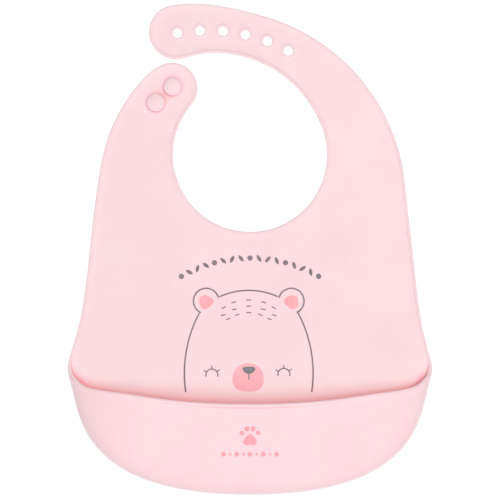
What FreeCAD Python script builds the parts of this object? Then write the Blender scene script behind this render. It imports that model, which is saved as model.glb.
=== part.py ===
import FreeCAD, Part
import math
import os

# Moulded silicone bib, standing upright as it hangs on a wearer.
# Frame: +X to the viewer's right, +Z up, the back face is the plane Y = 0 and
# the front faces -Y.  The origin is the centre of the neck opening, on the back.
# Every size is in millimetres.

V = FreeCAD.Vector
doc = FreeCAD.newDocument("silicone_bib")
sheet = doc.addObject("Spreadsheet::Sheet", "sizes")

SIZES = [
    # panel
    ("panel_thick", 1.8), ("rim_wide", 1.8), ("rim_rise", 0.8),
    ("neck_radius", 48.5), ("bottom_z", -213.8),
    ("corner_x", 114.6), ("corner_z", -134.0),
    # long strap: two round edges and a round tip
    ("long_out_x", -24.9), ("long_out_z", -31.4), ("long_out_radius", 123.3),
    ("long_in_radius", 72.4), ("long_join_angle", 20.0),
    ("long_tip_x", -46.5), ("long_tip_z", 77.2), ("long_tip_radius", 17.0),
    # short strap
    ("short_tip_radius", 16.0), ("short_join_angle", 139.5),
    # fastening
    ("hole_radius", 2.95), ("ring_radius", 4.7), ("ring_rise", 0.5),
    ("stud_stem_radius", 2.7), ("stud_stem_long", 2.4),
    ("stud_head_radius", 5.65), ("stud_head_thick", 2.2),
    # flexing strips
    ("apron_fold_half", 4.0), ("shoulder_fold_half", 3.0), ("curl_half", 3.0), ("curl_half_small", 1.7),
    ("shoulder_z", 8.0), ("apron_fold_z", -55.0),
    # pocket
    ("pocket_deep", 28.0), ("pocket_wall", 1.8), ("lip_high", 1.9),
    ("pocket_power", 2.3),
    # printed artwork
    ("ink_thick", 0.12), ("line_wide", 0.95),
]
# Centres of the strap's holes, from its tip, and of the studs, from the shoulder.
HOLES = [(-45.6, 76.4), (-31.4, 78.0), (-16.9, 77.8), (-2.8, 75.4), (11.0, 71.4), (24.1, 65.3)]
STUDS = [(-59.2, 32.7), (-48.6, 42.7)]
for kind, centres in (("hole", HOLES), ("stud", STUDS)):
    for number, (x, z) in enumerate(centres, start=1):
        SIZES.append(("%s_%d_across" % (kind, number), x))
        SIZES.append(("%s_%d_up" % (kind, number), z))
for row, (alias, value) in enumerate(SIZES, start=1):
    sheet.set("A%d" % row, alias)
    sheet.set("B%d" % row, "%g" % value)
    sheet.setAlias("B%d" % row, alias)
doc.recompute()


def size(alias):
    return float(sheet.get(alias))


# ---------------------------------------------------------------- drawing aids
def at(x, z):
    """A point of a front-view sketch."""
    return V(x, z, 0)


def polar(centre, radius, degrees):
    a = math.radians(degrees)
    return at(centre.x + radius * math.cos(a), centre.y + radius * math.sin(a))


def arc(centre, radius, first, last):
    """Round stretch from one angle to another, either way round."""
    return Part.Arc(polar(centre, radius, first),
                    polar(centre, radius, (first + last) / 2.0),
                    polar(centre, radius, last))


def line(a, b):
    return Part.LineSegment(a, b)


def curve(points, first_way=None, last_way=None):
    """Smooth curve through a few points, with its end directions if given."""
    spline = Part.BSplineCurve()
    if first_way is None:
        spline.interpolate(points)
    else:
        spline.interpolate(Points=points, InitialTangent=first_way,
                           FinalTangent=last_way)
    return spline


def polygon(points):
    return [line(a, b) for a, b in zip(points, points[1:] + points[:1])]


def front_sketch(name, geometry, depth=0.0):
    """A sketch parallel to the panel, at the given distance in front of the back face."""
    sketch = doc.addObject("Sketcher::SketchObject", name)
    sketch.Placement = FreeCAD.Placement(V(0, -depth, 0), FreeCAD.Rotation(V(1, 0, 0), 90))
    sketch.addGeometry(geometry, False)
    return sketch


def extrusion(name, sketch, length):
    """Prism from a sketch towards the front; length is an expression."""
    prism = doc.addObject("Part::Extrusion", name)
    prism.Base = sketch
    prism.DirMode = "Normal"
    prism.Solid = True
    prism.setExpression("LengthFwd", length)
    return prism


def boolean(kind, name, base, tool):
    result = doc.addObject("Part::" + kind, name)
    result.Base = base
    result.Tool = tool
    return result


def union(name, shapes):
    result = doc.addObject("Part::MultiFuse", name)
    result.Shapes = shapes
    return result


def angle_of(centre, point):
    return math.degrees(math.atan2(point.y - centre.y, point.x - centre.x))


# ---------------------------------------------------------------- the outline
neck = at(0, 0)
neck_r = size("neck_radius")
long_out = at(size("long_out_x"), size("long_out_z"))
long_out_r = size("long_out_radius")
long_in_r = size("long_in_radius")
long_join_angle = size("long_join_angle")
long_in = polar(neck, neck_r - long_in_r, long_join_angle)
long_tip = at(size("long_tip_x"), size("long_tip_z"))
long_tip_r = size("long_tip_radius")
short_tip_r = size("short_tip_radius")
short_join_angle = size("short_join_angle")
short_tip = polar(neck, neck_r + short_tip_r, short_join_angle)
corner_x = size("corner_x")
corner_z = size("corner_z")
bottom_z = size("bottom_z")

# distance of each side from the middle at a few heights, from the shoulder down to
# the pocket's corner, and from there to the middle of the bottom
RIGHT_SIDE = [(98.8, -30.0), (102.2, -60.0), (105.6, -90.0), (108.4, -108.0),
              (113.2, -127.0), (corner_x, corner_z)]
LEFT_SIDE = [(97.4, -30.0), (100.8, -60.0), (104.4, -90.0), (107.8, -108.0),
             (113.4, -127.0), (corner_x, corner_z)]
POCKET_SIDE = [(113.0, -143.5), (108.2, -162.0), (101.3, -177.5), (87.9, -192.3),
               (56.5, -207.4), (0.0, bottom_z)]


def smooth(points, first_way, last_way, inset, material_side):
    """Smooth stretch of the outline, moved in by the inset.

    material_side is 1 where the silicone lies to the left of the way along it.
    """
    spline = curve(points, first_way, last_way)
    moved = []
    for point in points:
        way = spline.tangent(spline.parameter(point))[0]
        moved.append(at(point.x - way.y * inset * material_side,
                        point.y + way.x * inset * material_side))
    return curve(moved, first_way, last_way)


def way_at(degrees):
    """Direction of counter-clockwise travel on a circle at an angle."""
    a = math.radians(degrees)
    return V(-math.sin(a), math.cos(a), 0)


long_start_angle = math.degrees(math.asin(-long_out.y / long_out_r))
long_start = polar(long_out, long_out_r, long_start_angle)
short_start = at(-92.4, 0.0)
short_start_way = V(-0.22, -1, 0).normalize()
LONG_OUT_END = 74.0
LONG_IN_END = 92.0
TIP_TOP = 100.0
TIP_UNDER = 282.0
SHORT_TURN = 113.0


def lower_side(side, start, start_way, inset):
    """Outline from a shoulder down to the middle of the bottom edge."""
    half = (RIGHT_SIDE if side > 0 else LEFT_SIDE) + POCKET_SIDE
    points = [start] + [at(side * x, z) for x, z in half]
    return smooth(points, start_way, V(-side, 0, 0), inset, -side)


def outline(inset):
    """The whole outline, neck edge included, moved in by the inset."""
    return [
        lower_side(1, long_start, way_at(long_start_angle) * -1, inset),
        arc(long_out, long_out_r - inset, long_start_angle, LONG_OUT_END),
        smooth([polar(long_out, long_out_r, LONG_OUT_END), at(-8.0, 91.5), at(-28.0, 94.7),
                polar(long_tip, long_tip_r, TIP_TOP)],
               way_at(LONG_OUT_END), way_at(TIP_TOP), inset, 1),
        arc(long_tip, long_tip_r - inset, TIP_TOP, TIP_UNDER),
        smooth([polar(long_tip, long_tip_r, TIP_UNDER), at(-36.0, 62.3),
                polar(long_in, long_in_r, LONG_IN_END)],
               way_at(TIP_UNDER), way_at(LONG_IN_END) * -1, inset, 1),
        arc(long_in, long_in_r + inset, LONG_IN_END, long_join_angle),
        arc(neck, neck_r + inset, long_join_angle, short_join_angle - 360.0),
        arc(short_tip, short_tip_r - inset, short_join_angle - 180.0, SHORT_TURN),
        smooth([polar(short_tip, short_tip_r, SHORT_TURN), at(-72.9, 41.0), at(-85.1, 21.5),
                short_start],
               way_at(SHORT_TURN), short_start_way, inset, 1),
        lower_side(-1, short_start, short_start_way, inset),
    ]


# ------------------------------------------------- one moulding, before it is divided
# The outline raised to the rim's height, less everything inside the rim above the panel.
outline_sketch = front_sketch("outline_sketch", outline(0.0))
inset_sketch = front_sketch("inset_sketch", outline(size("rim_wide")), size("panel_thick"))
rim_block = extrusion("rim_block", outline_sketch, "sizes.panel_thick + sizes.rim_rise")
inset_block = extrusion("inset_block", inset_sketch, "2 * sizes.rim_rise")
rimmed = boolean("Cut", "rimmed", rim_block, inset_block)

# Below its corners the pocket takes the rim's place.
below_corners = doc.addObject("Part::Box", "below_corners")
below_corners.setExpression("Length", "4 * sizes.corner_x")
below_corners.setExpression("Width", "sizes.panel_thick * 3")
below_corners.setExpression("Height", "sizes.corner_z - sizes.bottom_z + 20")
below_corners.setExpression("Placement.Base.x", "-2 * sizes.corner_x")
below_corners.setExpression("Placement.Base.y", "-sizes.panel_thick * 4")
below_corners.setExpression("Placement.Base.z", "sizes.bottom_z - 20")
moulding = boolean("Cut", "moulding", rimmed, below_corners)
doc.recompute()

pieces = []


def piece(name, obj):
    """Name a finished piece."""
    obj.Label = name
    pieces.append((name, obj))
    return obj


def cutter(name, points):
    """Prism in front of the whole panel, drawn by its corners."""
    sketch = front_sketch(name + "_sketch", polygon([at(x, z) for x, z in points]), -5.0)
    return extrusion(name, sketch, "sizes.panel_thick + 20")


def region(name, points):
    """The part of the moulding that lies inside a polygon."""
    return boolean("Common", name, moulding, cutter(name + "_cut", points))


# ------------------------------------------------- where the moulding flexes
apron_half = size("apron_fold_half")
fold_half = size("shoulder_fold_half")
curl_half = size("curl_half")
curl_half_small = size("curl_half_small")
shoulder_z = size("shoulder_z")
apron_fold_z = size("apron_fold_z")
FAR = 160.0

# The long strap's curl lines run square across it.  The first two go out from a
# centre near those of its edges, the others pass midway between two holes.
STRAP_CENTRE = (-23.7, -20.0)


def line_from(centre, degrees, half):
    a = math.radians(degrees)
    return {"point": centre, "way": (math.cos(a), math.sin(a)), "half": half}


def line_between(a, b, half):
    """Line midway between two points, square to the line joining them."""
    long = math.hypot(b[0] - a[0], b[1] - a[1])
    way = ((b[1] - a[1]) / long, -(b[0] - a[0]) / long)
    if way[1] < 0:
        way = (-way[0], -way[1])
    return {"point": ((a[0] + b[0]) / 2.0, (a[1] + b[1]) / 2.0), "way": way, "half": half}


LONG_LINES = [
    line_from(STRAP_CENTRE, 34.0, curl_half),
    line_from(STRAP_CENTRE, 55.0, curl_half),
    line_between(HOLES[5], HOLES[4], curl_half_small),
    line_between(HOLES[3], HOLES[2], curl_half_small),
    line_between(HOLES[1], HOLES[0], curl_half_small),
]
SHORT_LINES = [
    line_from((0.0, 0.0), 159.0, curl_half),
    line_between(STUDS[0], STUDS[1], curl_half_small),
]


def on_line(mark, along, across):
    """Point at a distance along a curl line and to its left."""
    (x, z), (u, w) = mark["point"], mark["way"]
    return (x + along * u - across * w, z + along * w + across * u)


def meet(mark, across, height):
    """Where the line beside a curl line crosses a height, as a distance along it."""
    return (height - on_line(mark, 0, across)[1]) / mark["way"][1]


def strip(mark, near, far):
    """Corners of the flexing strip along a curl line."""
    half = mark["half"]
    return [on_line(mark, near, -half), on_line(mark, far, -half),
            on_line(mark, far, half), on_line(mark, near, half)]


def between(first, last, near, far):
    """Corners of the stiff length between two curl lines."""
    a, b = first["half"], -last["half"]
    return [on_line(first, near[0], a), on_line(first, far[0], a),
            on_line(last, far[1], b), on_line(last, near[1], b)]


# ------------------------------------------------- yoke, apron and their folds
low, high = apron_fold_z - apron_half, apron_fold_z + apron_half
root_low, root_high = shoulder_z - fold_half, shoulder_z + fold_half

piece("yoke", region("yoke_region", [
    (-FAR, high), (FAR, high), (FAR, root_low), (-FAR, root_low)]))
piece("apron_fold_strip", region("apron_fold_region", [
    (-FAR, low), (FAR, low), (FAR, high), (-FAR, high)]))
piece("apron_panel", region("apron_region", [
    (-FAR, bottom_z - 10), (FAR, bottom_z - 10), (FAR, low), (-FAR, low)]))
piece("right_shoulder_fold_strip", region("right_fold_region", [
    (0, root_low), (FAR, root_low), (FAR, root_high), (0, root_high)]))
piece("left_shoulder_fold_strip", region("left_fold_region", [
    (-FAR, root_low), (0, root_low), (0, root_high), (-FAR, root_high)]))

# ------------------------------------------------- straps
# How far each curl line reaches inwards and outwards, clear of the strap's edges.
LONG_REACH = [(61, 135), (55, 135), (-24, 25), (-24, 24), (-24, 24)]
SHORT_REACH = [(35, 110), (-22, 22)]


def strap_segment(name, first, last, near, far):
    return region(name, between(first, last, near, far))


def round_at_hole(name, number, radius, height, behind):
    """Cylinder on the axis of a strap hole, towards the front."""
    cylinder = doc.addObject("Part::Cylinder", name)
    cylinder.Placement = FreeCAD.Placement(V(0, behind, 0), FreeCAD.Rotation(V(1, 0, 0), 90))
    cylinder.setExpression("Placement.Base.x", "sizes.hole_%d_across" % number)
    cylinder.setExpression("Placement.Base.z", "sizes.hole_%d_up" % number)
    cylinder.setExpression("Radius", radius)
    cylinder.setExpression("Height", height)
    return cylinder


def with_holes(name, strap, numbers):
    """A strap length with its holes, each in a low ring."""
    rings = []
    bores = []
    for number in numbers:
        rings.append(round_at_hole("ring_%d" % number, number, "sizes.ring_radius",
                                   "sizes.panel_thick + sizes.ring_rise", 0))
        bores.append(round_at_hole("bore_%d" % number, number, "sizes.hole_radius",
                                   "sizes.panel_thick + sizes.ring_rise + 2", 1))
    ringed = union(name + "_ringed", [strap] + rings)
    if len(bores) == 1:
        return boolean("Cut", name + "_holed", ringed, bores[0])
    return boolean("Cut", name + "_holed", ringed, union(name + "_bores", bores))


first, last = LONG_LINES[0], LONG_LINES[-1]
long_1 = region("long_1", [
    (20, root_high), (FAR, root_high), on_line(first, 130, -curl_half),
    on_line(first, meet(first, -curl_half, root_high), -curl_half)])
piece("long_strap_root", long_1)
for number, (mark, (near, far)) in enumerate(zip(LONG_LINES, LONG_REACH), start=1):
    piece("long_strap_flex_%d" % number,
          region("long_flex_%d" % number, strip(mark, near, far)))

long_names = ["long_strap_plain", "long_strap_hole_6", "long_strap_holes_5_4",
              "long_strap_holes_3_2"]
long_holes = [[], [6], [5, 4], [3, 2]]
for number in range(4):
    one, two = LONG_LINES[number], LONG_LINES[number + 1]
    reach_one, reach_two = LONG_REACH[number], LONG_REACH[number + 1]
    strap = strap_segment("long_%d" % (number + 2), one, two,
                          (reach_one[0], reach_two[0]), (reach_one[1], reach_two[1]))
    if long_holes[number]:
        strap = with_holes("long_%d" % (number + 2), strap, long_holes[number])
    piece(long_names[number], strap)
tip_region = region("long_tip", [
    on_line(last, -24, last["half"]), on_line(last, 24, last["half"]),
    (-80, 105), (-80, 59.2), (-42, 59.2)])
piece("long_strap_tip", with_holes("long_tip", tip_region, [1]))

first, last = SHORT_LINES
short_1 = region("short_1", [
    (-20, root_high), on_line(first, meet(first, curl_half, root_high), curl_half),
    on_line(first, 130, curl_half), (-FAR, root_high)])
piece("short_strap_root", short_1)
piece("short_strap_flex_1", region("short_flex_1", strip(first, *SHORT_REACH[0])))
piece("short_strap_flex_2", region("short_flex_2", strip(last, *SHORT_REACH[1])))
piece("short_strap_length", region("short_2", [
    on_line(first, SHORT_REACH[0][0], -first["half"]),
    on_line(first, SHORT_REACH[0][1], -first["half"]),
    on_line(last, SHORT_REACH[1][1], last["half"]),
    on_line(last, SHORT_REACH[1][0], last["half"])]))
piece("short_strap_tip", region("short_3", [
    on_line(last, SHORT_REACH[1][0], -last["half"]),
    on_line(last, SHORT_REACH[1][1], -last["half"]),
    (-60, 59.2), (-25, 59.2), (-25, 20)]))

# ------------------------------------------------- fastening studs
# A short stem with a mushroom head, turned about its own axis.
stem_r, stem_long = size("stud_stem_radius"), size("stud_stem_long")
head_r, head_thick = size("stud_head_radius"), size("stud_head_thick")
panel_thick = size("panel_thick")


def stud(name, number):
    body = doc.addObject("PartDesign::Body", name)
    plane = [f for f in body.Origin.OriginFeatures if f.Role == "XY_Plane"][0]
    profile = body.newObject("Sketcher::SketchObject", name + "_profile")
    profile.AttachmentSupport = [(plane, "")]
    profile.MapMode = "FlatFace"
    under = panel_thick + stem_long
    top = under + head_thick
    edge = head_thick * 0.3
    start = V(0, -panel_thick, 0)
    foot = V(stem_r, -panel_thick, 0)
    neck_end = V(stem_r, -under, 0)
    under_rim = V(head_r - edge, -under, 0)
    rim = V(head_r, -under - edge, 0)
    rim_middle = V(head_r - 0.29 * edge, -under - 0.29 * edge, 0)
    crown = V(0, -top, 0)
    crown_high = head_thick - edge
    crown_radius = (head_r ** 2 + crown_high ** 2) / (2 * crown_high)
    half_turn = math.asin(head_r / crown_radius) / 2.0
    crown_middle = V(crown_radius * math.sin(half_turn),
                     -top + crown_radius * (1 - math.cos(half_turn)), 0)
    profile.addGeometry([
        line(start, foot), line(foot, neck_end), line(neck_end, under_rim),
        Part.Arc(under_rim, rim_middle, rim), Part.Arc(rim, crown_middle, crown),
        line(crown, start)], False)
    turned = body.newObject("PartDesign::Revolution", name + "_turned")
    turned.Profile = profile
    turned.ReferenceAxis = (profile, ["V_Axis"])
    turned.Angle = 360.0
    body.setExpression("Placement.Base.x", "sizes.stud_%d_across" % number)
    body.setExpression("Placement.Base.z", "sizes.stud_%d_up" % number)
    return body


piece("stud_lower", stud("lower_stud", 1))
piece("stud_upper", stud("upper_stud", 2))

# ------------------------------------------------- catch pocket
# The wall is a bowl: the pocket's outline on the panel, shrinking towards the
# middle of its top edge as it comes forward.
pocket_power = size("pocket_power")
FORWARD = [0.0, 0.3, 0.55, 0.75, 0.88, 0.95, 0.98, 0.995]
POCKET_INSET = 0.6


def pocket_outline(inset):
    """Left corner, round the bottom, to the right corner."""
    half = [at(0.0, bottom_z)] + [at(x, z) for x, z in reversed(POCKET_SIDE[:-1])]
    half.append(at(corner_x, corner_z))
    points = [at(-p.x, p.y) for p in reversed(half[1:])] + half
    corner_way = V(0.12, 1, 0).normalize()
    start_way = V(corner_way.x, -corner_way.y, 0)
    spline = curve(points, start_way, corner_way)
    moved = []
    for point in points:
        way = spline.tangent(spline.parameter(point))[0]
        moved.append(at(point.x - way.y * inset, point.y + way.x * inset))
    moved[0] = at(-corner_x + inset, corner_z)
    moved[-1] = at(corner_x - inset, corner_z)
    return moved


def dome(name, inset, deep):
    """Solid bowl shape from the panel's front to the given depth."""
    points = pocket_outline(inset)
    sections = []
    for number, forward in enumerate(FORWARD):
        scale = (1.0 - forward ** pocket_power) ** (1.0 / pocket_power)
        shrunk = [at(p.x * scale, corner_z + (p.y - corner_z) * scale) for p in points]
        geometry = [curve(shrunk), line(shrunk[-1], shrunk[0])]
        sections.append(front_sketch("%s_%d" % (name, number), geometry,
                                     panel_thick + forward * deep))
    loft = doc.addObject("Part::Loft", name)
    loft.Sections = sections
    loft.Solid = True
    return loft


pocket_deep = size("pocket_deep")
pocket_wall = size("pocket_wall")
rim_rise = size("rim_rise")
lip_high = size("lip_high")
ink_thick = size("ink_thick")
bowl_outside = dome("bowl_outside", POCKET_INSET, pocket_deep)
bowl_inside = dome("bowl_inside", POCKET_INSET + pocket_wall, pocket_deep - pocket_wall)
lip_outside = dome("lip_outside", 0.0, pocket_deep + rim_rise)

LIP = [(118.0, -130.5), (112.6, -139.0), (103.5, -146.0), (87.3, -148.9), (60.2, -152.4),
       (30.0, -155.2), (0.0, -156.0)]


def below_lip(name, drop):
    """Everything lower than the lip line, moved down by the drop."""
    right = [at(x, z - drop) for x, z in LIP]
    left = [at(-x, z - drop) for x, z in LIP[:-1]]
    points = left + right[::-1]
    low_right, low_left = at(LIP[0][0], -240.0), at(-LIP[0][0], -240.0)
    geometry = [curve(points), line(points[-1], low_right), line(low_right, low_left),
                line(low_left, points[0])]
    return extrusion(name, front_sketch(name + "_sketch", geometry, 1.0), "sizes.pocket_deep + 10")


under_bead = below_lip("under_bead", lip_high)
under_lip = below_lip("under_lip", 0.0)
bowl = boolean("Cut", "bowl", boolean("Common", "bowl_block", bowl_outside, under_bead), bowl_inside)
piece("pocket_wall", bowl)
lip_band = boolean("Cut", "lip_band", under_lip, under_bead)
lip = boolean("Cut", "lip", boolean("Common", "lip_block", lip_outside, lip_band), bowl_inside)
piece("pocket_lip_bead", lip)

# ------------------------------------------------- printed artwork
# Each mark is a closed outline, raised by the thickness of the ink.
line_wide = size("line_wide")


def band(centre, radius, first_angle, last_angle, wide):
    """Curved stroke of a round line."""
    outer, inner = radius + wide / 2.0, radius - wide / 2.0
    return [arc(centre, outer, first_angle, last_angle),
            line(polar(centre, outer, last_angle), polar(centre, inner, last_angle)),
            arc(centre, inner, first_angle, last_angle),
            line(polar(centre, inner, first_angle), polar(centre, outer, first_angle))]


def band_through(a, b, c, wide):
    """Curved stroke through three points."""
    circle = Part.Arc(at(*a), at(*b), at(*c)).toShape().Curve
    first_angle = angle_of(circle.Center, at(*a))
    turn = angle_of(circle.Center, at(*c)) - first_angle
    turn = (turn + 180.0) % 360.0 - 180.0
    return band(circle.Center, circle.Radius, first_angle, first_angle + turn, wide)


def bar(x, z, long, wide, degrees):
    """Straight stroke about its middle."""
    a = math.radians(degrees)
    u, w = (math.cos(a) * long / 2, math.sin(a) * long / 2), (
        -math.sin(a) * wide / 2, math.cos(a) * wide / 2)
    return polygon([at(x - u[0] - w[0], z - u[1] - w[1]), at(x + u[0] - w[0], z + u[1] - w[1]),
                    at(x + u[0] + w[0], z + u[1] + w[1]), at(x - u[0] + w[0], z - u[1] + w[1])])


def disc(x, z, radius):
    return [Part.Circle(at(x, z), V(0, 0, 1), radius)]


def blob(points):
    """Closed smooth outline through a few points."""
    spline = Part.BSplineCurve()
    spline.interpolate(Points=[at(x, z) for x, z in points], PeriodicFlag=True)
    return [spline]


def leaf(x, z, long, wide, degrees):
    """Pointed leaf of two equal arcs about its middle."""
    a = math.radians(degrees)
    u = (math.cos(a) * long / 2, math.sin(a) * long / 2)
    w = (-math.sin(a) * wide / 2, math.cos(a) * wide / 2)
    ends = at(x - u[0], z - u[1]), at(x + u[0], z + u[1])
    return [Part.Arc(ends[0], at(x + w[0], z + w[1]), ends[1]),
            Part.Arc(ends[1], at(x - w[0], z - w[1]), ends[0])]


def ink(name, marks, depth):
    """Marks that stay clear of each other."""
    sketch = front_sketch(name + "_sketch", [edge for mark in marks for edge in mark], depth)
    return piece(name, extrusion(name + "_ink", sketch, "sizes.ink_thick"))


def joined_ink(name, marks, depth):
    """Marks that run into each other."""
    strokes = []
    for number, mark in enumerate(marks, start=1):
        sketch = front_sketch("%s_sketch_%d" % (name, number), mark, depth)
        strokes.append(extrusion("%s_stroke_%d" % (name, number), sketch, "sizes.ink_thick"))
    return piece(name, union(name + "_ink", strokes))


def mirrored(x, z, half):
    """Half outline and its mirror image about an upright line."""
    return [(x + a, z + b) for a, b in half] + [(x - a, z + b) for a, b in half[:0:-1]]


HALVES = (-1, 1)
FACE_X = -0.8
EAR = (26.8, -92.0)
EYES = [(-24.0, -138.6), (21.3, -138.2)]
MUZZLE = (-1.1, -140.0)
NOSE = (-0.7, -135.6)
TICKS = [(FACE_X, -91.4, -2), (FACE_X, -95.2, 0), (FACE_X, -99.3, 0)]
for x, z, tilt in [(9.4, -92.8, 14), (15.7, -96.2, 28), (9.1, -97.2, 10), (16.1, -100.9, 18),
                   (7.3, -100.7, 17), (13.0, -103.3, 16)]:
    TICKS += [(FACE_X + x, z, -tilt), (FACE_X - x, z, tilt)]

face = [band_through((FACE_X - 18.4, -89.3), (FACE_X, -85.3), (FACE_X + 18.4, -89.3), line_wide)]
inner_ears = []
for side in HALVES:
    ear = at(FACE_X + side * EAR[0], EAR[1])
    turn = 90.0 - side * 40.0
    face.append(band(ear, 8.0, turn - 115.5, turn + 115.5, line_wide))
    face.append(band_through((FACE_X + side * 31.0, -99.4), (FACE_X + side * 39.1, -122.5),
                             (FACE_X + side * 39.6, -149.3), line_wide))
    inner_ears.append(blob([(ear.x - side * x, ear.y - 0.5 + z) for x, z in
                            [(4.7, 0.1), (3.4, 2.6), (-0.8, 4.2), (-4.0, 2.4), (-3.9, -2.7),
                             (-0.6, -4.5), (3.4, -2.0)]]))
joined_ink("print_head_outline", face, panel_thick)

eyes = []
for x, z in EYES:
    centre = at(x, z)
    eyes.append(band(centre, 3.8, -14.0, 194.0, line_wide * 0.8))
    for lash in (35.0, 90.0, 150.0):
        foot = polar(centre, 5.0, lash)
        eyes.append(bar(foot.x, foot.y, 2.1, line_wide * 0.7, lash))
joined_ink("print_closed_eyes", eyes, panel_thick)
ink("print_forehead_ticks", [bar(x, z, 3.2, line_wide * 0.75, tilt) for x, z, tilt in TICKS],
    panel_thick)
ink("print_inner_ears", inner_ears, panel_thick)
ink("print_muzzle", [blob(mirrored(*MUZZLE, [(0.0, 9.0), (6.9, 6.3), (9.7, 0.4), (8.9, -5.2),
                                             (4.6, -8.5)]))], panel_thick)
nose = blob(mirrored(*NOSE, [(0.0, 2.3), (3.3, 2.0), (3.9, 0.5), (1.7, -1.9)]))
stem = bar(NOSE[0], -139.3, 4.4, line_wide * 0.8, 90.0)
joined_ink("print_nose", [nose, stem], panel_thick + ink_thick)

# A garland of leaves and berries on an arch over the head.
ARCH = at(0.0, -152.0)
ARCH_RADIUS = 87.0
garland = []
for number in range(-8, 9):
    angle = 90.0 - number * 3.72
    spot = polar(ARCH, ARCH_RADIUS, angle)
    if number % 4 == 0:
        garland.append(disc(spot.x, spot.y, 1.7))
    else:
        lean = 35.0 if number % 2 else -35.0
        garland.append(leaf(spot.x, spot.y, 5.2, 2.2, angle + lean))
ink("print_garland", garland, panel_thick)

# Ink on the pocket follows its bulge: a thin skin inside the mark's outline.
skin = boolean("Cut", "ink_skin", dome("ink_outside", POCKET_INSET - ink_thick,
                                       pocket_deep + ink_thick), bowl_outside)


def pocket_ink(name, marks):
    sketch = front_sketch(name + "_sketch", [edge for mark in marks for edge in mark], 4.0)
    prism = extrusion(name + "_prism", sketch, "sizes.pocket_deep + 10")
    return piece(name, boolean("Common", name + "_ink", skin, prism))


PAW = (0.0, -174.4)
paw = [blob([(PAW[0] + x, PAW[1] - 2.2 + z) for x, z in
             [(0.0, 3.2), (3.2, 0.6), (4.2, -2.4), (2.0, -3.9), (0.0, -3.5), (-2.0, -3.9),
              (-4.2, -2.4), (-3.2, 0.6)]])]
for x, z, radius in [(-5.0, 1.6, 1.45), (-1.9, 4.2, 1.6), (1.9, 4.2, 1.6), (5.0, 1.6, 1.45)]:
    paw.append(disc(PAW[0] + x, PAW[1] + z, radius))
pocket_ink("print_paw", paw)
dots = []
for number in range(-4, 5):
    dots.append(disc(number * 4.1, -186.2, 1.5 if number % 2 == 0 else 0.9))
pocket_ink("print_dot_row", dots)

# ------------------------------------------------- write the pieces
doc.recompute()
for obj in doc.Objects:
    if "Invalid" in obj.State or "Error" in obj.State:
        raise RuntimeError("%s did not build" % obj.Name)

os.makedirs("parts", exist_ok=True)
for name, obj in pieces:
    shape = obj.Shape
    if shape.isNull() or not shape.isValid() or not shape.Solids:
        raise RuntimeError("%s has no sound solid" % name)
    shape.exportStep("parts/%s.step" % name)
    print("%-28s %3d solid(s) %9.1f mm3" % (name, len(shape.Solids), shape.Volume))
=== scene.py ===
import math

import bmesh
import bpy
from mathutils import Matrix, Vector
from mathutils.geometry import delaunay_2d_cdt


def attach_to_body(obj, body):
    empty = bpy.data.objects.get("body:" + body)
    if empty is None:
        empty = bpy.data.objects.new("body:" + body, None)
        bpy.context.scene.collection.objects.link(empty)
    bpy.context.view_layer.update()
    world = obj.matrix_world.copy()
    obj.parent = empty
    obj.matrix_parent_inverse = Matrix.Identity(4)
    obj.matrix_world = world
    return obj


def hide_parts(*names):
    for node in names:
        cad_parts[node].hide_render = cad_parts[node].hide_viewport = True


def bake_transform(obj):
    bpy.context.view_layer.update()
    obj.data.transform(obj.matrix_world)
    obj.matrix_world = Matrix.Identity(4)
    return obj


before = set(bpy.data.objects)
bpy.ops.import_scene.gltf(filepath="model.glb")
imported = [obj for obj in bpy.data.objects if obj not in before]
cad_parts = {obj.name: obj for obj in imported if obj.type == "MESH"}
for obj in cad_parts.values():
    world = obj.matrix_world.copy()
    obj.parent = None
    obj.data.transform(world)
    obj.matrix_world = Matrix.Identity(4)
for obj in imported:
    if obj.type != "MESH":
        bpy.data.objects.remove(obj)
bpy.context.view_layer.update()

MM = 0.001
SHEET = 1.8          # panel thickness
WELD = 0.002         # vertices closer than this become one

# ------------------------------------------------------------------ outline
# All drawing is in millimetres: x to the right, z up, centre of the neck opening at 0, 0.
NECK_R = 48.5
LONG_OUT, LONG_OUT_R = (-24.9, -31.4), 123.3
LONG_IN_R, LONG_JOIN = 72.4, 20.0
LONG_TIP, LONG_TIP_R = (-46.5, 77.2), 17.0
SHORT_TIP_R, SHORT_JOIN = 16.0, 139.5
CORNER_X, CORNER_Z, BOTTOM_Z = 114.6, -134.0, -213.8
RIGHT_SIDE = [(98.8, -30.0), (102.2, -60.0), (105.6, -90.0), (108.4, -108.0),
              (113.2, -127.0), (CORNER_X, CORNER_Z)]
LEFT_SIDE = [(97.4, -30.0), (100.8, -60.0), (104.4, -90.0), (107.8, -108.0),
             (113.4, -127.0), (CORNER_X, CORNER_Z)]
POCKET_SIDE = [(113.0, -143.5), (108.2, -162.0), (101.3, -177.5), (87.9, -192.3),
               (56.5, -207.4), (0.0, BOTTOM_Z)]
HOLES = [(-45.6, 76.4), (-31.4, 78.0), (-16.9, 77.8), (-2.8, 75.4), (11.0, 71.4), (24.1, 65.3)]
STUDS = [(-59.2, 32.7), (-48.6, 42.7)]


def polar(centre, radius, degrees):
    """Point on a circle at an angle."""
    a = math.radians(degrees)
    return (centre[0] + radius * math.cos(a), centre[1] + radius * math.sin(a))


LONG_IN = polar((0, 0), NECK_R - LONG_IN_R, LONG_JOIN)
SHORT_TIP = polar((0, 0), NECK_R + SHORT_TIP_R, SHORT_JOIN)


def arc(centre, radius, first, last, step=1.2):
    """Points along an arc between two angles, in degrees."""
    count = max(2, int(abs(math.radians(last - first)) * radius / step))
    return [polar(centre, radius, first + (last - first) * i / count) for i in range(count + 1)]


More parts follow.
